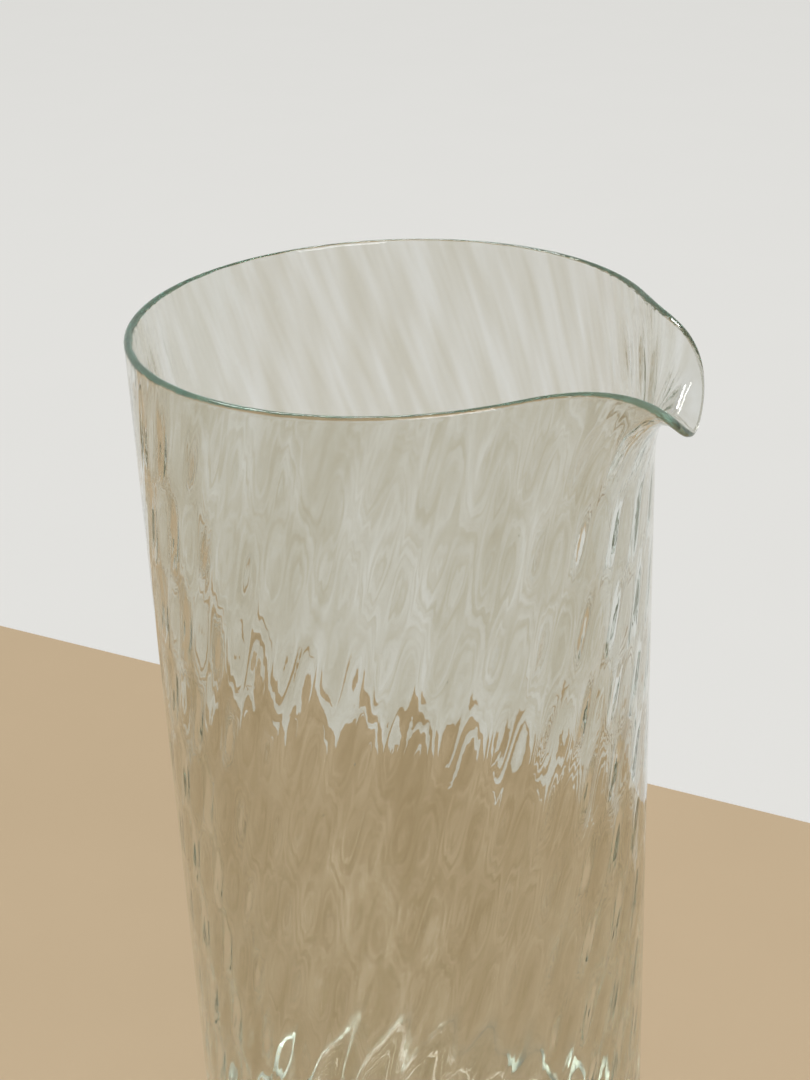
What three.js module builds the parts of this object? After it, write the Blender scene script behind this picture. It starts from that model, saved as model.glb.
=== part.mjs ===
// A mouth-blown glass pitcher with no handle: a straight clear body with a twisted diamond relief
// on its inner face, a thick flat base, and a pouring lip pulled out and down from a fire-polished rim.
// The glass is three zones, base, body wall and spouted rim, that meet face to face on level seams.
// Millimetres, +Z up. The origin is the centre of the base's underside, and the lip points to +X.

import * as THREE from "three";
import { ParametricGeometry } from "three/addons/geometries/ParametricGeometry.js";

// Body
const HEIGHT = 250; // table to rim, away from the lip
const OUTER_DIAMETER = 110;
const WALL_THICKNESS = 2.2;
const RIM_THICKNESS = 1.8; // the wall thins towards the rim, which is fire-polished to a half round

// Base
const BASE_THICKNESS = 8;
const HEEL_RADIUS = 9; // outside corner between the underside and the wall
const FLOOR_CORNER_RADIUS = 12; // inside corner between the floor and the wall

// Pouring lip
const LIP_REACH = 11.5; // how far the rim is pulled out at the lip's centre
const LIP_REACH_HALF_WIDTH = 20.6; // along the rim, to where the pull has fallen to 1/e
const LIP_DROP = 14.5; // how far the rim sinks at the lip's centre
const LIP_DROP_HALF_WIDTH = 11.3; // along the rim, to where the sinking has fallen to 1/e
const LIP_FOLD_HEIGHT = 32; // height of the band under the rim in which the wall bends

// Shape of the lip: a high power keeps the middle wide, and a low one narrows it to a notch
const REACH_POWER = 2.65;
const DROP_POWER = 1.7;
const REACH_BEND_POWER = 2; // how late in the fold the wall leans out
const DROP_BEND_POWER = 4; // how late in the fold the wall tips over

// Optic relief: a diamond grid of shallow hollows and swellings, twisted as the glass was turned
const RELIEF_DEPTH = 0.4; // swelling or hollow, from the mean inner face
const RELIEF_COLUMNS = 32;
const RELIEF_PITCH = 40; // height of one full diamond
const RELIEF_FIRST_ROW = 14.5; // below the rim, to the first row of swellings
const RELIEF_FIRST_ANGLE = 8.5; // degrees from the lip to a swelling of that row
const RELIEF_LEAN = 24; // degrees that the grid turns in 100 mm of height
const RELIEF_FADE = 24; // height over which the relief rises out of the base
const RELIEF_AT_RIM = 0.4; // share of the depth that is left where the rim was polished

// Facets
const FACETS_PER_COLUMN = 4;
const ROWS_PER_DIAMOND = 4;
const BODY_ROW_HEIGHT = 30; // row spacing on the smooth outer face
const FOLD_ROWS = 7; // rows in the band that the lip is pulled from
const RIM_STEPS = 4; // facets across the half-round rim
const ARC_DIVISIONS = 3; // divisions of each quarter turn of the base's section, doubled by the arc
const BASE_FACETS = 72;

// Values that follow from the sizes above
const OUTER_RADIUS = OUTER_DIAMETER / 2;
const INNER_RADIUS = OUTER_RADIUS - WALL_THICKNESS;
const BASE_SEAM = Math.max(HEEL_RADIUS, BASE_THICKNESS + FLOOR_CORNER_RADIUS);
const RIM_SEAM = HEIGHT - LIP_FOLD_HEIGHT;
const RIM_CENTRE = HEIGHT - RIM_THICKNESS / 2; // height of the half round's centre
const RELIEF_TOP = HEIGHT - RELIEF_FIRST_ROW;
const FIRST_ANGLE = THREE.MathUtils.degToRad(RELIEF_FIRST_ANGLE);
const TURN_PER_MM = THREE.MathUtils.degToRad(RELIEF_LEAN) / 100;
const AROUND = RELIEF_COLUMNS * FACETS_PER_COLUMN;

const PROBE_ANGLE = 1e-4; // small steps that measure the wall's slope
const PROBE_HEIGHT = 1e-3;

const glassZone = (name, geometry, colour) => {
  const material = new THREE.MeshStandardMaterial({
    color: colour,
    roughness: 0.04,
    metalness: 0,
    transparent: true,
    opacity: 0.35,
  });
  const zone = new THREE.Mesh(geometry, material);
  zone.name = name;
  return zone;
};

// How far up the folding band a height lies: 0 at its seam and 1 at the rim
const foldShare = (height) => Math.max(0, (height - RIM_SEAM) / (RIM_CENTRE - RIM_SEAM));

// The bell-shaped falling away from the lip's centre line
const bell = (distance, halfWidth, power) => Math.exp(-((distance / halfWidth) ** power));

// Distance along the rim from the lip's centre line
const alongRim = (angle) => {
  const wrapped = Math.atan2(Math.sin(angle), Math.cos(angle));
  return OUTER_RADIUS * Math.abs(wrapped);
};

const thicknessAt = (height) => {
  const share = THREE.MathUtils.smoothstep(foldShare(height), 0, 1);
  return THREE.MathUtils.lerp(WALL_THICKNESS, RIM_THICKNESS, share);
};

// Where one column of the relief stands at a height, as the grid turns with height
const columnAngle = (height) => FIRST_ANGLE + TURN_PER_MM * (height - RELIEF_TOP);

// Depth of the inner face's relief: a product of two waves, on a grid that turns with height
const reliefAt = (angle, height) => {
  const acrossWave = Math.cos(RELIEF_COLUMNS * (angle - columnAngle(height)));
  const upWave = Math.cos((2 * Math.PI * (height - RELIEF_TOP)) / RELIEF_PITCH);
  const rise = THREE.MathUtils.smoothstep(height, BASE_SEAM, BASE_SEAM + RELIEF_FADE);
  const polish = THREE.MathUtils.lerp(1, RELIEF_AT_RIM, foldShare(height));
  const pulled = bell(alongRim(angle), LIP_REACH_HALF_WIDTH, REACH_POWER) * foldShare(height);
  return RELIEF_DEPTH * rise * polish * (1 - pulled) * acrossWave * upWave;
};

// The middle of the wall's thickness: a cylinder whose top band is pulled out and down at the lip
const midWall = (angle, height) => {
  const distance = alongRim(angle);
  const fold = foldShare(height);
  const reach = LIP_REACH * bell(distance, LIP_REACH_HALF_WIDTH, REACH_POWER) * fold ** REACH_BEND_POWER;
  const drop = LIP_DROP * bell(distance, LIP_DROP_HALF_WIDTH, DROP_POWER) * fold ** DROP_BEND_POWER;
  const radius = OUTER_RADIUS - thicknessAt(height) / 2 + reach;
  return new THREE.Vector3(radius * Math.cos(angle), radius * Math.sin(angle), height - drop);
};

// A point of the wall's section. turn is 0 on the outer face, a half turn on the inner face,
// and between the two on the half-round rim.
const wallPoint = (angle, height, turn) => {
  const middle = midWall(angle, height);
  const around = midWall(angle + PROBE_ANGLE, height).sub(midWall(angle - PROBE_ANGLE, height));
  const up = midWall(angle, height + PROBE_HEIGHT).sub(midWall(angle, height - PROBE_HEIGHT)).normalize();
  const outward = around.cross(up).normalize();
  const half = thicknessAt(height) / 2;
  const facingIn = Math.max(0, -Math.cos(turn));
  const across = half * Math.cos(turn) + reliefAt(angle, height) * facingIn;
  return middle.addScaledVector(outward, across).addScaledVector(up, half * Math.sin(turn));
};

// A ring of wall: the stations run up the outer face, over the top, down the inner face, and
// close on themselves. Each row of facets turns with the relief, so its ridges lie on edges.
const wallRing = (stations) => {
  const place = (u, v, target) => {
    const { height, turn } = stations[Math.round(v * stations.length) % stations.length];
    const angle = 2 * Math.PI * u + columnAngle(height);
    target.copy(wallPoint(angle, height, turn));
  };
  return new ParametricGeometry(place, AROUND, stations.length);
};

const evenHeights = (low, high, rows) =>
  Array.from({ length: rows + 1 }, (_, i) => THREE.MathUtils.lerp(low, high, i / rows));

// Heights of the relief's crests, nodes and hollows between two seams, with the seams themselves
const reliefHeights = (low, high) => {
  const step = RELIEF_PITCH / ROWS_PER_DIAMOND;
  const heights = [low];
  for (let row = Math.ceil((low - RELIEF_TOP) / step); RELIEF_TOP + row * step < high; row += 1) {
    const height = RELIEF_TOP + row * step;
    const clearOfSeams = Math.min(height - low, high - height) > step / 4;
    if (clearOfSeams) heights.push(height);
  }
  heights.push(high);
  return heights;
};

const outerStations = (heights) => heights.map((height) => ({ height, turn: 0 }));
const innerStations = (heights) => heights.toReversed().map((height) => ({ height, turn: Math.PI }));

function makeBase() {
  const section = new THREE.Path();
  section.moveTo(0, 0);
  section.lineTo(OUTER_RADIUS - HEEL_RADIUS, 0);
  section.absarc(OUTER_RADIUS - HEEL_RADIUS, HEEL_RADIUS, HEEL_RADIUS, -Math.PI / 2, 0, false);
  section.lineTo(OUTER_RADIUS, BASE_SEAM);
  section.lineTo(INNER_RADIUS, BASE_SEAM);
  const cornerX = INNER_RADIUS - FLOOR_CORNER_RADIUS;
  const cornerZ = BASE_THICKNESS + FLOOR_CORNER_RADIUS;
  section.absarc(cornerX, cornerZ, FLOOR_CORNER_RADIUS, 0, -Math.PI / 2, true);
  section.lineTo(0, BASE_THICKNESS);
  const geometry = new THREE.LatheGeometry(section.getPoints(ARC_DIVISIONS), BASE_FACETS);
  geometry.rotateX(Math.PI / 2);
  return glassZone("base", geometry, 0xd3ded8);
}

function makeBodyWall() {
  const rows = Math.ceil((RIM_SEAM - BASE_SEAM) / BODY_ROW_HEIGHT);
  const outer = outerStations(evenHeights(BASE_SEAM, RIM_SEAM, rows));
  const inner = innerStations(reliefHeights(BASE_SEAM, RIM_SEAM));
  return glassZone("body_wall", wallRing([...outer, ...inner]), 0xdde6e1);
}

function makeSpoutedRim() {
  const heights = evenHeights(RIM_SEAM, RIM_CENTRE, FOLD_ROWS);
  const halfRound = [];
  for (let step = 1; step < RIM_STEPS; step += 1) {
    halfRound.push({ height: RIM_CENTRE, turn: (Math.PI * step) / RIM_STEPS });
  }
  const stations = [...outerStations(heights), ...halfRound, ...innerStations(heights)];
  return glassZone("spouted_rim", wallRing(stations), 0xc9dad2);
}

const pitcher = new THREE.Group();
pitcher.add(makeBase(), makeBodyWall(), makeSpoutedRim());

export default pitcher;
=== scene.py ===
# %% [markdown]
# # A blown glass pitcher
# This lesson dresses a plain model of a straight glass pitcher as real glass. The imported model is
# the frame: it fixes every size and place, and nothing here moves or resizes it. All lengths are
# metres, Z points up, the origin is the middle of the pitcher's underside and the lip points to +X.

import bpy
import numpy as np
from mathutils import Matrix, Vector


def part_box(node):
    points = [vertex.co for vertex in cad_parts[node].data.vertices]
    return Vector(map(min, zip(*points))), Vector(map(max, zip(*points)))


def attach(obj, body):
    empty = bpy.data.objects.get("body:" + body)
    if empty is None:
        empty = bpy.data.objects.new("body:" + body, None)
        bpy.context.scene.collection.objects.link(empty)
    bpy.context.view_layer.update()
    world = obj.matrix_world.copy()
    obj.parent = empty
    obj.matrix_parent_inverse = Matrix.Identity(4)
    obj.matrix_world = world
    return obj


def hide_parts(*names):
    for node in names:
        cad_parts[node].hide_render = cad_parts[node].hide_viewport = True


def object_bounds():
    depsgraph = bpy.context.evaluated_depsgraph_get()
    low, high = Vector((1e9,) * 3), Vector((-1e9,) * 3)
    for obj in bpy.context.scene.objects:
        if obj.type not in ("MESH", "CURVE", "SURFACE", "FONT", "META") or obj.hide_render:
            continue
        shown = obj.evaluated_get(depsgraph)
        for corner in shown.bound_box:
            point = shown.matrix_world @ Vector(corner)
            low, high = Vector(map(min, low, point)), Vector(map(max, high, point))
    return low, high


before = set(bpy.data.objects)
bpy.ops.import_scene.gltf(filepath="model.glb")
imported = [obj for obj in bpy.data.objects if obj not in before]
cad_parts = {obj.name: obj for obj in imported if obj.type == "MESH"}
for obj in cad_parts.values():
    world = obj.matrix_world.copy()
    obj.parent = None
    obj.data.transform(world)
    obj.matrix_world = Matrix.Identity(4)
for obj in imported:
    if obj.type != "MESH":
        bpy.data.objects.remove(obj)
cad_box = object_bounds()
print("frame box", [tuple(round(v, 4) for v in corner) for corner in cad_box])

# %% [markdown]
# ## The camera
# The photograph was taken from a little above the rim, close to the pitcher, so its sides draw
# together downwards. A camera is copied by four facts: where it stands, where it points, how it is
# tilted, and its focal length. Fitting the rim's ellipse and the two straight sides gives them all.

# %% Camera
VIEW_AZIMUTH = np.radians(28.65)  # the lip points to the right, turned this far towards the camera
VIEW_DISTANCE = 0.3567            # along the floor, from the pitcher's axis
VIEW_HEIGHT = 0.3745
VIEW_PITCH = np.radians(26.29)
VIEW_YAW = np.radians(0.16)
VIEW_ROLL = np.radians(2.46)
LENS_MM = 60.4
SENSOR_MM = 36.0                  # along the picture's long side
NEAREST_SEEN = 0.01

VIEW_RIGHT = np.array([np.cos(VIEW_AZIMUTH), np.sin(VIEW_AZIMUTH), 0.0])
VIEW_AHEAD = np.array([-np.sin(VIEW_AZIMUTH), np.cos(VIEW_AZIMUTH), 0.0])
UP = np.array([0.0, 0.0, 1.0])


def camera_axes():
    """Right, up and back of the camera: the level view, turned by yaw, then pitch, then roll."""
    right = np.cos(VIEW_YAW) * VIEW_RIGHT - np.sin(VIEW_YAW) * VIEW_AHEAD
    level_ahead = np.sin(VIEW_YAW) * VIEW_RIGHT + np.cos(VIEW_YAW) * VIEW_AHEAD
    ahead = np.cos(VIEW_PITCH) * level_ahead - np.sin(VIEW_PITCH) * UP
    down = np.cross(ahead, right)
    rolled_right = np.cos(VIEW_ROLL) * right + np.sin(VIEW_ROLL) * down
    rolled_down = np.cos(VIEW_ROLL) * down - np.sin(VIEW_ROLL) * right
    return rolled_right, -rolled_down, -ahead


camera_data = bpy.data.cameras.new("photo_camera")
camera_data.lens = LENS_MM
camera_data.sensor_width = SENSOR_MM
camera_data.clip_start = NEAREST_SEEN
camera = bpy.data.objects.new("photo_camera", camera_data)
bpy.context.scene.collection.objects.link(camera)
placed = Matrix.Identity(4)
for column, axis in enumerate(camera_axes()):
    placed.col[column][:3] = axis
placed.col[3][:3] = VIEW_HEIGHT * UP - VIEW_DISTANCE * VIEW_AHEAD
camera.matrix_world = placed
bpy.context.scene.camera = camera
bpy.context.scene.view_settings.view_transform = "Standard"
print("camera at", tuple(round(v, 4) for v in camera.location))

# %% [markdown]
# ## The wall as a formula
# A glassblower makes this wall in four steps: blow a straight tube, press a diamond pattern into
# it, twist it, and pull a lip from the rim. Sculpting would give the same shape once, but a formula
# gives it at any fineness and keeps the thickness true. The wall is described by its middle
# surface, which depends on an angle and a height, and the two faces lie half a thickness away.

# %% Sizes of the wall
HEIGHT = cad_box[1].z
OUTER_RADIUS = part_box("body_wall")[1].y
BASE_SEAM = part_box("body_wall")[0].z
RIM_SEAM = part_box("spouted_rim")[0].z
WALL_THICKNESS = 0.0022
RIM_THICKNESS = 0.0018
RIM_CENTRE = HEIGHT - RIM_THICKNESS / 2
print("wall from", round(BASE_SEAM, 4), "to", round(HEIGHT, 4), "at radius", round(OUTER_RADIUS, 4))

# %% Middle of the wall
LIP_REACH = 0.0115
LIP_REACH_HALF_WIDTH = 0.0206     # along the rim, to where the pull has fallen to 1/e
LIP_DROP = 0.0145
LIP_DROP_HALF_WIDTH = 0.0113
REACH_POWER = 2.65                # a high power keeps the lip's middle wide
DROP_POWER = 1.7                  # and a low one narrows it to a notch
REACH_BEND_POWER = 2              # how late in the fold the wall leans out
DROP_BEND_POWER = 4               # and tips over


def smooth_rise(x):
    """An S-shaped step: 0 below 0, 1 above 1, and 3x^2 - 2x^3 between them."""
    x = np.clip(x, 0, 1)
    return x * x * (3 - 2 * x)


def fold_share(height):
    """How far up the folding band a height lies: 0 at its seam and below, 1 at the rim."""
    return np.maximum(0, (height - RIM_SEAM) / (RIM_CENTRE - RIM_SEAM))


def lip_bell(angle, half_width, power):
    """A bell round the lip's centre line: e to the minus (distance along the rim / half width) ^ power."""
    wrapped = np.arctan2(np.sin(angle), np.cos(angle))
    return np.exp(-(OUTER_RADIUS * np.abs(wrapped) / half_width) ** power)


def wall_thickness(height):
    """The wall's thickness, easing from the body's value to the rim's over the folding band."""
    return WALL_THICKNESS + (RIM_THICKNESS - WALL_THICKNESS) * smooth_rise(fold_share(height))


def middle_of_wall(angle, height):
    """A cylinder whose top band leans out by the reach bell and sinks by the drop bell."""
    fold = fold_share(height)
    reach = LIP_REACH * lip_bell(angle, LIP_REACH_HALF_WIDTH, REACH_POWER) * fold ** REACH_BEND_POWER
    drop = LIP_DROP * lip_bell(angle, LIP_DROP_HALF_WIDTH, DROP_POWER) * fold ** DROP_BEND_POWER
    radius = OUTER_RADIUS - wall_thickness(height) / 2 + reach
    return np.stack([radius * np.cos(angle), radius * np.sin(angle), height - drop], axis=-1)


print("tip of the lip at", middle_of_wall(0.0, RIM_CENTRE).round(4))

# %% [markdown]
# ## The optic relief
# The diamonds are shallow: under half a millimetre of swelling and hollow on the inner face. They
# show because glass bends light, and each swelling is a small lens. Two cosine waves multiplied
# give a chequer of swellings and hollows, and a turn that grows with height leans the chequer.
# Hot glass never keeps a mould's exact grid, so slow waves let the columns and rows wander.

# %% Relief
RELIEF_DEPTH = 0.0004
RELIEF_COLUMNS = 32
RELIEF_PITCH = 0.040
RELIEF_FIRST_ROW = 0.0145         # below the rim
RELIEF_FIRST_ANGLE = np.radians(8.5)
RELIEF_LEAN = np.radians(240)     # turn per metre of height
RELIEF_FADE = 0.024               # height over which the relief rises out of the base
RELIEF_AT_RIM = 0.4               # share of the depth that is left where the rim was polished
WANDER_ANGLE = np.radians(0.9)    # how far a column strays from its true line
WANDER_HEIGHT = 0.0022            # how far a row strays
WANDER_DEPTH = 0.18               # share by which the depth varies
SLOW_WAVES = (                    # strength, waves round the wall, radians per metre up it, shift
    (1.0, 2, 23, 1.0),
    (0.7, 5, -41, 2.3),
    (0.5, 9, 67, 4.1),
)


def slow_waves(angle, height, seed):
    """Sine waves round and up the wall, added up and scaled to stay within about -1 to 1."""
    waves = sum(
        strength * np.sin(around * angle + climb * height + shift * seed)
        for strength, around, climb, shift in SLOW_WAVES
    )
    return waves / sum(strength for strength, *_ in SLOW_WAVES)


def relief(angle, height):
    """Depth times a wave round the wall times a wave up it, on a grid that turns and wanders."""
    strayed_angle = angle + WANDER_ANGLE * slow_waves(angle, height, 1.0)
    strayed_height = height + WANDER_HEIGHT * slow_waves(angle, height, 2.0)
    above_row = strayed_height - (HEIGHT - RELIEF_FIRST_ROW)
    column = RELIEF_COLUMNS * (strayed_angle - RELIEF_FIRST_ANGLE - RELIEF_LEAN * above_row)
    row = 2 * np.pi * above_row / RELIEF_PITCH
    rise = smooth_rise((height - BASE_SEAM) / RELIEF_FADE)
    polish = 1 - (1 - RELIEF_AT_RIM) * fold_share(height)
    pulled = lip_bell(angle, LIP_REACH_HALF_WIDTH, REACH_POWER) * fold_share(height)
    depth = RELIEF_DEPTH * (1 + WANDER_DEPTH * slow_waves(angle, height, 3.0))
    return depth * rise * polish * (1 - pulled) * np.cos(column) * np.cos(row)


print("relief of", RELIEF_COLUMNS, "columns,", RELIEF_DEPTH, "deep")

# %% Skin of the wall
PROBE_ANGLE = 1e-4                # small steps that measure the wall's slope
PROBE_HEIGHT = 1e-6


def wall_points(angle, height, turn):
    """Points of the wall's skin: the middle plus half a thickness along a direction that turns from
    the outward normal, at 0, over the rim's own upward direction, to the inward one, at half a turn."""
    middle = middle_of_wall(angle, height)
    along = middle_of_wall(angle + PROBE_ANGLE, height) - middle_of_wall(angle - PROBE_ANGLE, height)
    up = middle_of_wall(angle, height + PROBE_HEIGHT) - middle_of_wall(angle, height - PROBE_HEIGHT)
    up = up / np.linalg.norm(up, axis=-1, keepdims=True)
    out = np.cross(along, up)
    out = out / np.linalg.norm(out, axis=-1, keepdims=True)
    half = wall_thickness(height) / 2
    across = half * np.cos(turn) + relief(angle, height) * np.maximum(0, -np.cos(turn))
    return middle + out * across[..., None] + up * (half * np.sin(turn))[..., None]


print("thickness", WALL_THICKNESS, "in the body and", RIM_THICKNESS, "at the rim")

# %% [markdown]
# ## One skin for all of the glass
# Light passes through glass from one skin to the other, so a seam inside the glass would show as a
# mirror. The whole pitcher is therefore one closed sheet, drawn as a stack of rings: out along the
# underside, round the heel, up the outer face, over the rim, down the inner face and in along the
# floor. A single point closes the sheet at each end.

# %% Rings of the skin
FACETS_PER_COLUMN = 11            # round the wall, for each column of the relief
AROUND = RELIEF_COLUMNS * FACETS_PER_COLUMN
ARC_RINGS = 12                    # on each rounded corner of the base, and over the rim
FLAT_RINGS = 8                    # on the underside, and on the floor inside
OUTER_RINGS = 26, 30              # on the body, and on the folding band
INNER_RINGS = 104, 34
POLE_RADIUS = 0.004               # of the ring beside each closing point
BASE_THICKNESS = 0.008
HEEL_RADIUS = 0.009
FLOOR_CORNER_RADIUS = 0.012

angles = np.linspace(0, 2 * np.pi, AROUND, endpoint=False)


def turned(radius, height):
    """Rings of the base: each (radius, height) pair of a profile, carried round the axis."""
    radius, height = np.broadcast_arrays(radius, height)
    ring = np.stack([np.cos(angles), np.sin(angles), np.zeros_like(angles)], axis=-1)
    return radius[:, None, None] * ring + height[:, None, None] * UP


def face_heights(body_rings, fold_rings):
    """Heights of the rings on one face: even steps up the body, then finer ones up the fold."""
    body = np.linspace(BASE_SEAM, RIM_SEAM, body_rings)[:-1]
    return np.concatenate([body, np.linspace(RIM_SEAM, RIM_CENTRE, fold_rings)])


def face(heights, turn):
    """Rings of the wall at the given heights, all on one face of it."""
    return wall_points(angles[None, :], heights[:, None], np.full((len(heights), 1), turn))


quarter = np.linspace(0, np.pi / 2, ARC_RINGS)
heel_x = OUTER_RADIUS - HEEL_RADIUS
underside = turned(np.linspace(POLE_RADIUS, heel_x, FLAT_RINGS)[:-1], 0.0)
heel = turned(heel_x + HEEL_RADIUS * np.sin(quarter), HEEL_RADIUS * (1 - np.cos(quarter)))
outer_heights = face_heights(*OUTER_RINGS)
inner_heights = face_heights(*INNER_RINGS)[::-1]
rim_turns = np.linspace(0, np.pi, ARC_RINGS)[1:-1]
rim_heights = np.full(len(rim_turns), RIM_CENTRE)
rim = wall_points(angles[None, :], rim_heights[:, None], rim_turns[:, None])
corner_x = OUTER_RADIUS - WALL_THICKNESS - FLOOR_CORNER_RADIUS
corner = turned(
    corner_x + FLOOR_CORNER_RADIUS * np.cos(quarter[1:]),
    BASE_THICKNESS + FLOOR_CORNER_RADIUS * (1 - np.sin(quarter[1:])),
)
floor_inside = turned(np.linspace(corner_x, POLE_RADIUS, FLAT_RINGS)[1:], BASE_THICKNESS)
rings = np.concatenate(
    [underside, heel, face(outer_heights, 0.0), rim, face(inner_heights, np.pi), corner, floor_inside]
)
print("rings of the skin", rings.shape)

# %% [markdown]
# ## Faces from a grid
# A face is a list of point numbers. The points lie on a grid of rings, so a face's corners are one
# number and its neighbours to the side and above. Shifting the whole array of numbers by one place
# gives every neighbour at once, and no loop over the faces is needed.

# %% Faces of the skin
def sheet_faces(rows, around):
    """Four-sided faces between neighbouring rings, and a fan from each end ring to its closing point."""
    index = np.arange(rows * around).reshape(rows, around)
    beside = np.roll(index, -1, axis=1)
    quads = np.stack([index[:-1], beside[:-1], beside[1:], index[1:]], axis=-1).reshape(-1, 4)
    first, last = np.full(around, rows * around), np.full(around, rows * around + 1)
    first_fan = np.stack([beside[0], index[0], first], axis=-1)
    last_fan = np.stack([index[-1], beside[-1], last], axis=-1)
    return quads, np.concatenate([first_fan, last_fan])


skin_points = np.concatenate([rings.reshape(-1, 3), [[0, 0, 0], [0, 0, BASE_THICKNESS]]])
skin_quads, skin_fans = sheet_faces(*rings.shape[:2])
print("skin", len(skin_points), "points")

# %% [markdown]
# ## Seeds
# Blown glass keeps a few tiny air bubbles, called seeds, drawn out along the wall. A bubble is a
# hole, so its faces look inwards, from the glass to the air. All seeds are one array: a small
# egg-shaped grid, scaled and carried to a random place in the middle of the wall.

# %% Seeds
SEED_COUNT = 26
SEED_AROUND = 10
SEED_ROWS = 5
SEED_RADII = (0.00006, 0.00017)
SEED_STRETCH = 2.2
SEED_LOWEST = 0.03
SEED_BELOW_RIM = 0.01
SEED_DRAW = 7                     # starts the random numbers, so that every run places them alike


def seed_points():
    """Eggs: radius times (sin t cos p, sin t sin p, stretch cos t), about points in the wall's middle."""
    chance = np.random.default_rng(SEED_DRAW)
    angle = chance.uniform(0, 2 * np.pi, SEED_COUNT)
    height = chance.uniform(SEED_LOWEST, HEIGHT - SEED_BELOW_RIM, SEED_COUNT)
    radius = chance.uniform(*SEED_RADII, SEED_COUNT)
    polar = np.linspace(0, np.pi, SEED_ROWS + 2)[1:-1]
    round_egg = np.linspace(0, 2 * np.pi, SEED_AROUND, endpoint=False)
    t, p = np.meshgrid(polar, round_egg, indexing="ij")
    egg = np.stack([np.sin(t) * np.cos(p), np.sin(t) * np.sin(p), SEED_STRETCH * np.cos(t)], axis=-1)
    egg = np.concatenate([egg.reshape(-1, 3), [[0, 0, SEED_STRETCH], [0, 0, -SEED_STRETCH]]])
    return middle_of_wall(angle, height)[:, None, :] + radius[:, None, None] * egg


seeds = seed_points()
seed_starts = len(skin_points) + seeds.shape[1] * np.arange(SEED_COUNT)
egg_quads, egg_fans = sheet_faces(SEED_ROWS, SEED_AROUND)
seed_quads = (seed_starts[:, None, None] + egg_quads).reshape(-1, 4)
seed_fans = (seed_starts[:, None, None] + egg_fans).reshape(-1, 3)
print("seeds", SEED_COUNT, "with radii up to", SEED_RADII[1])

# %% [markdown]
# ## One mesh, and where it is hollow
# Skin and seeds go into one mesh, because a bubble is part of the same glass. Each point also keeps
# a number of its own, an attribute, that says how deep the relief is there: 1 in a hollow and -1 on
# a swelling. The material reads it later: a thin place lets a little more light through, and the
# tint made from it is mostly painted shade, darker on the swellings than the glass would make them.

# %% The glass as one mesh
mesh = bpy.data.meshes.new("pitcher_glass")
faces = [skin_quads, seed_quads, skin_fans, seed_fans]
all_points = np.concatenate([skin_points, seeds.reshape(-1, 3)])
mesh.from_pydata(all_points, [], sum((part.tolist() for part in faces), []))
mesh.polygons.foreach_set("use_smooth", np.ones(len(mesh.polygons), dtype=bool))

wall_heights = np.concatenate([outer_heights, rim_heights, inner_heights])
wall_hollows = relief(angles[None, :], wall_heights[:, None]) / RELIEF_DEPTH
wall_start = (len(underside) + len(heel)) * AROUND
hollows = np.zeros(len(mesh.vertices))
hollows[wall_start : wall_start + wall_hollows.size] = wall_hollows.ravel()
mesh.attributes.new("hollow", "FLOAT", "POINT").data.foreach_set("value", hollows)
mesh.update()

glass = bpy.data.objects.new("pitcher_glass", mesh)
bpy.context.scene.collection.objects.link(glass)
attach(glass, "root")
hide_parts("base", "body_wall", "spouted_rim")
print("pitcher_glass", len(mesh.vertices), "points", len(mesh.polygons), "faces")

# %% [markdown]
# ## Writing shaders as sums
# A shader is a graph of small nodes, and wiring one by hand hides the arithmetic. A wire here is one
# output of a node, and adding or multiplying wires adds the Math node that does it. Every other node
# is made by one method: its kind, its settings, then what goes into its sockets.

# %% Wires
class Wire:
    """One output socket of a node tree, which Python's operators can work on."""

    def __init__(self, tree, socket=None):
        self.tree = tree
        self.socket = socket

    def node(self, kind, settings=None, sockets=None, out=0):
        """Adds a node, sets its settings, fills its sockets with values or wires, and returns an output."""
        made = self.tree.nodes.new(kind)
        for name, value in (settings or {}).items():
            setattr(made, name, value)
        for key, value in (sockets or {}).items():
            if isinstance(value, Wire):
                self.tree.links.new(value.socket, made.inputs[key])
            else:
                made.inputs[key].default_value = value
        return Wire(self.tree, made.outputs[out] if made.outputs else None)

    def math(self, operation, *values):
        """A Math node on two values or wires."""
        return self.node("ShaderNodeMath", {"operation": operation}, dict(enumerate(values)))

    def __add__(self, other):
        return self.math("ADD", self, other)

    def __sub__(self, other):
        return self.math("SUBTRACT", self, other)

    def __rsub__(self, other):
        return self.math("SUBTRACT", other, self)

    def __mul__(self, other):
        return self.math("MULTIPLY", self, other)

    __radd__ = __add__
    __rmul__ = __mul__


def new_material(name):
    """An empty material and a wire into its tree."""
    made = bpy.data.materials.new(name)
    made.use_nodes = True
    made.node_tree.nodes.clear()
    return made, Wire(made.node_tree)


def blend(wire, share, first, second):
    """A colour between two, by a share from 0 to 1. Mix repeats its sockets' names, so they go by place."""
    return wire.node("ShaderNodeMix", {"data_type": "RGBA"}, {0: share, 6: first, 7: second}, out=2)


print("wires can be added, subtracted and multiplied")

# %% [markdown]
# ## The glass itself
# Soda-lime glass bends light by about 1.52 and is very slightly green, which shows where a ray runs
# along the wall, as at the rim. That green is in the volume, where it deepens with the distance that
# light travels. Blown glass also keeps cords, thin threads of slightly other glass drawn out and
# twisted with the wall. The same stretched, leaning noise makes fine cords and broader patches. The
# cords ripple the surface a little, so a straight edge behind the glass turns into teeth. The warm
# tint along the cords and in the broad patches is painted shade: it stands in for the warm, darker
# surroundings seen through the glass.

# %% Cords and haze
CORD_SCALE = 380.0                     # cords per metre
PATCH_SCALE = 75.0                     # and broad patches of painted warm shade
CORD_STRETCH = 0.1                     # width of a cord over its length
CORD_LEAN = np.radians(330)            # turn per metre of height
CORD_DETAIL = 1.0
CORD_ROUGHNESS = 0.45
HAZE_SCALE = 35.0
HAZE_DETAIL = 3.0
HAZE_RANGE = 0.45, 0.75                # values of the noise where the haze starts and is full
HAZE_ROUGHNESS = 0.03                  # where fingers and washing dull the surface most


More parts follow.
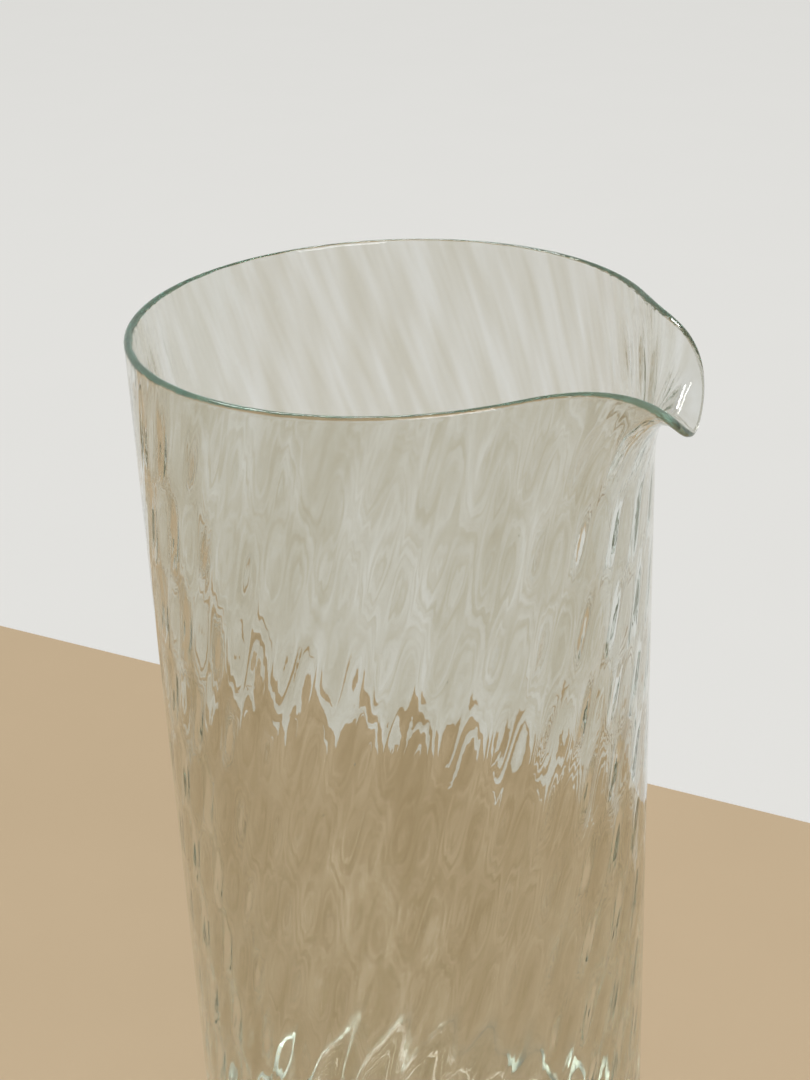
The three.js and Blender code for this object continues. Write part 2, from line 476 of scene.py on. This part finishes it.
def drawn_noise(wire, place, scale):
    """Noise in a space untwisted by the lean and squeezed in height, so its cells become leaning cords."""
    height = wire.node("ShaderNodeSeparateXYZ", sockets={0: place}, out="Z")
    untwisted = wire.node(
        "ShaderNodeVectorRotate",
        {"rotation_type": "Z_AXIS"},
        {"Vector": place, "Angle": height * -CORD_LEAN},
    )
    drawn = wire.node("ShaderNodeMapping", sockets={"Vector": untwisted, "Scale": (1, 1, CORD_STRETCH)})
    return wire.node(
        "ShaderNodeTexNoise",
        sockets={"Vector": drawn, "Scale": scale, "Detail": CORD_DETAIL, "Roughness": CORD_ROUGHNESS},
    )


def glass_haze(wire, place):
    """Roughness: none where the noise is low, rising to the haze's own value in its highest patches."""
    smears = wire.node(
        "ShaderNodeTexNoise", sockets={"Vector": place, "Scale": HAZE_SCALE, "Detail": HAZE_DETAIL}
    )
    starts, full = HAZE_RANGE
    return wire.node(
        "ShaderNodeMapRange",
        sockets={
            "Value": smears,
            "From Min": starts,
            "From Max": full,
            "To Min": 0.0,
            "To Max": HAZE_ROUGHNESS,
        },
    )


print("cords", CORD_SCALE, "and patches", PATCH_SCALE, "per metre")

# %% [markdown]
# ## Letting the lamps in
# Sharp light that lamps throw through glass is slow to find by chance, and leaves the floor black
# meanwhile. So the glass is nearly clear to the rays that look for lamps, and real to all others.
# Those others may run along inside the wall for a long way, mirrored from skin to skin, so they are
# allowed many bounces before they are given up.

# %% Clear glass
GLASS_COOL = (0.89, 0.90, 0.88, 1)     # what one wall lets through in a hollow
GLASS_PAINTED_WARM_SHADE = (0.75, 0.735, 0.66, 1)    # painted warm shade along the cords and in the patches
HOLLOW_AND_LENS_SHADE_SHARE = 0.35                    # how much of the tint follows the relief: slight real thinning, mostly painted shade on the swellings
PAINTED_CORD_SHADE_SHARE = 2.0                       # the painted shade along the cords
PAINTED_PATCH_SHADE_SHARE = 1.6                      # and in the broad patches
CORD_HEIGHT = 0.0001
GLASS_IOR = 1.52
GLASS_PASSES = (0.36, 0.62, 0.57, 1)   # colour that the volume lets through best
GLASS_DENSITY = 5.0                    # per metre
GLASS_SHADOW = (0.88, 0.90, 0.89, 1)   # light left after each surface, on its way from a lamp
BOUNCES = 128


def make_clear_glass():
    """Refracting glass with a tint of painted warm shade along its cords, in broad patches and on its
    swellings, a little haze, and a green that grows with thickness.
    """
    material, wire = new_material("clear_glass")
    place = wire.node("ShaderNodeTexCoord", out="Object")
    hollow = wire.node("ShaderNodeAttribute", {"attribute_name": "hollow"}, out="Fac")
    cords = drawn_noise(wire, place, CORD_SCALE)
    patches = drawn_noise(wire, place, PATCH_SCALE)
    ripple = wire.node("ShaderNodeBump", sockets={"Height": cords, "Strength": 1.0, "Distance": CORD_HEIGHT})
    # Painted shade: the tint turns warm and darker along the cords, in broad patches and on the swellings,
    # standing in for the surroundings seen through the glass; in the hollows a little of it is real
    # thinning.
    painted_streaks = PAINTED_CORD_SHADE_SHARE * (cords - 0.5) + PAINTED_PATCH_SHADE_SHARE * (patches - 0.5)
    clear_share = 0.5 + HOLLOW_AND_LENS_SHADE_SHARE * hollow + painted_streaks
    skin = wire.node(
        "ShaderNodeBsdfPrincipled",
        sockets={
            "Base Color": blend(wire, clear_share, GLASS_PAINTED_WARM_SHADE, GLASS_COOL),
            "Transmission Weight": 1.0,
            "IOR": GLASS_IOR,
            "Roughness": glass_haze(wire, place),
            "Normal": ripple,
        },
    )
    clear = wire.node("ShaderNodeBsdfTransparent", sockets={"Color": GLASS_SHADOW})
    lamp_ray = wire.node("ShaderNodeLightPath", out="Is Shadow Ray")
    surface = wire.node("ShaderNodeMixShader", sockets={0: lamp_ray, 1: skin, 2: clear})
    green = {"Color": GLASS_PASSES, "Density": GLASS_DENSITY}
    volume = wire.node("ShaderNodeVolumeAbsorption", sockets=green)
    wire.node("ShaderNodeOutputMaterial", sockets={"Surface": surface, "Volume": volume})
    return material


glass.data.materials.append(make_clear_glass())
bpy.context.scene.cycles.max_bounces = BOUNCES
bpy.context.scene.cycles.transmission_bounces = BOUNCES
bpy.context.scene.cycles.glossy_bounces = BOUNCES
print("clear_glass on", glass.name)

# %% [markdown]
# ## The set
# Clear glass has no colour of its own to photograph: it shows what lies behind it, bent. So the set
# has two plain tones. The floor is a pale tan, which warms the lower half of the glass, and a white
# paper backdrop starts behind the pitcher. Its slanting front edge is the line that the relief breaks
# into teeth. Both are thin slabs, and their paper shows its own colour to the camera and to the glass
# while the lamps light the rest of it, so that it is even and still keeps a shadow.

# %% Sheets of paper
SHEET_THICKNESS = 0.0004
PAPER_SCALE = 14.0                     # drifts of tone per metre
PAPER_DETAIL = 2.0


def make_sheet(name, corners, top, material):
    """A thin slab of the set. Its four corners, anticlockwise, are distances to the right of the
    pitcher and ahead of it, as the camera looks."""
    corners = np.array(corners)
    outline = corners[:, :1] * VIEW_RIGHT + corners[:, 1:] * VIEW_AHEAD
    points = np.concatenate([outline + (top - SHEET_THICKNESS) * UP, outline + top * UP])
    sides = [(3, 2, 1, 0), (4, 5, 6, 7), (0, 1, 5, 4), (1, 2, 6, 5), (2, 3, 7, 6), (3, 0, 4, 7)]
    slab = bpy.data.meshes.new(name)
    slab.from_pydata(points, [], sides)
    slab.materials.append(material)
    made = bpy.data.objects.new(name, slab)
    bpy.context.scene.collection.objects.link(made)


def make_paper(name, first, second, glow):
    """Matte paper that drifts between two tones. The glow is the share of its look that is its own
    colour at strength 1, for rays from the camera, mirrors and glass. The lamps light the rest."""
    material, wire = new_material(name)
    place = wire.node("ShaderNodeTexCoord", out="Object")
    drift = wire.node(
        "ShaderNodeTexNoise", sockets={"Vector": place, "Scale": PAPER_SCALE, "Detail": PAPER_DETAIL}
    )
    tone = blend(wire, drift, first, second)
    matte = wire.node("ShaderNodeBsdfDiffuse", sockets={"Color": tone})
    shown = wire.node("ShaderNodeEmission", sockets={"Color": tone, "Strength": 1.0})
    seen = wire.node("ShaderNodeLightPath", out="Is Camera Ray")
    mirrored = wire.node("ShaderNodeLightPath", out="Is Glossy Ray")
    through = wire.node("ShaderNodeLightPath", out="Is Transmission Ray")
    looked_at = wire.math("MAXIMUM", wire.math("MAXIMUM", seen, mirrored), through)
    surface = wire.node("ShaderNodeMixShader", sockets={0: glow * looked_at, 1: matte, 2: shown})
    wire.node("ShaderNodeOutputMaterial", sockets={"Surface": surface})
    return material


print("the set's right is", VIEW_RIGHT.round(3), "and its far side", VIEW_AHEAD.round(3))

# %% Floor and backdrop
CONTACT_GAP = 0.0002                   # keeps the floor clear of the pitcher's own underside
REACH = 6.0                            # from the pitcher to the end of the floor, on all sides
BACKDROP_AHEAD = 0.24                  # where the backdrop's front edge passes behind the pitcher
BACKDROP_SLANT = 0.545                 # how much nearer that edge comes, for each metre to the right
FLOOR_TONES = (0.57, 0.44, 0.29, 1), (0.54, 0.415, 0.27, 1)
FLOOR_GLOW = 0.7                       # keeps the far floor as pale as the near, and some shadow
BACKDROP_TONES = (0.765, 0.76, 0.735, 1), (0.775, 0.77, 0.745, 1)
BACKDROP_GLOW = 0.88

floor_corners = (-REACH, -REACH), (REACH, -REACH), (REACH, REACH), (-REACH, REACH)
near_right = BACKDROP_AHEAD - BACKDROP_SLANT * REACH
near_left = BACKDROP_AHEAD + BACKDROP_SLANT * REACH
backdrop_corners = (-REACH, near_left), (REACH, near_right), (REACH, REACH), (-REACH, REACH)
floor_top = -CONTACT_GAP
backdrop_top = floor_top + SHEET_THICKNESS
tan_paper = make_paper("tan_paper", *FLOOR_TONES, FLOOR_GLOW)
white_paper = make_paper("white_paper", *BACKDROP_TONES, BACKDROP_GLOW)
make_sheet("floor", floor_corners, floor_top, tan_paper)
make_sheet("backdrop", backdrop_corners, backdrop_top, white_paper)
print("floor at", floor_top, "and backdrop from", BACKDROP_AHEAD, "behind the pitcher")

# %% [markdown]
# ## Light
# A soft square lamp at the front right lights the set. A long strip lamp, high behind the pitcher,
# draws the white lines on the rim: a rounded edge mirrors a lamp as a line as long as the lamp is
# wide. The sky has the backdrop's own tone at the horizon, so that the two meet almost unseen, and is
# darker overhead.

# %% Lamps
LAMPS = {                              # place, width, depth, watts
    "key_softbox": ((0.75, -0.6, 1.0), 0.7, 0.7, 11.0),
    "back_strip": ((-0.65, 0.56, 1.4), 0.9, 0.2, 8.0),
}


def make_lamp(name, place, width, depth, watts):
    """A rectangular lamp turned to face the pitcher's middle, with its width level."""
    data = bpy.data.lights.new(name, "AREA")
    data.shape = "RECTANGLE"
    data.size = width
    data.size_y = depth
    data.energy = watts
    made = bpy.data.objects.new(name, data)
    bpy.context.scene.collection.objects.link(made)
    made.location = place
    aim = (cad_box[0] + cad_box[1]) / 2 - made.location
    made.rotation_euler = aim.to_track_quat("-Z", "Y").to_euler()


for name, lamp in LAMPS.items():
    make_lamp(name, *lamp)
print("lamps", list(LAMPS))

# %% Sky
SKY_STEEP = 0.7                        # sine of the height above which the sky is darkest
SKY_DARKEST = 0.4
SKY_TONE = BACKDROP_TONES[1]

world = bpy.data.worlds.new("studio")
world.use_nodes = True
world.node_tree.nodes.clear()
sky = Wire(world.node_tree)
direction = sky.node("ShaderNodeTexCoord", out="Generated")
upward = sky.node("ShaderNodeSeparateXYZ", sockets={0: direction}, out="Z")
level = sky.node(
    "ShaderNodeMapRange",
    sockets={"Value": upward, "From Min": 0.0, "From Max": SKY_STEEP, "To Min": 1.0, "To Max": SKY_DARKEST},
)
light = sky.node("ShaderNodeBackground", sockets={"Color": SKY_TONE, "Strength": level})
sky.node("ShaderNodeOutputWorld", sockets={"Surface": light})
bpy.context.scene.world = world
print("sky from 1 down to", SKY_DARKEST)
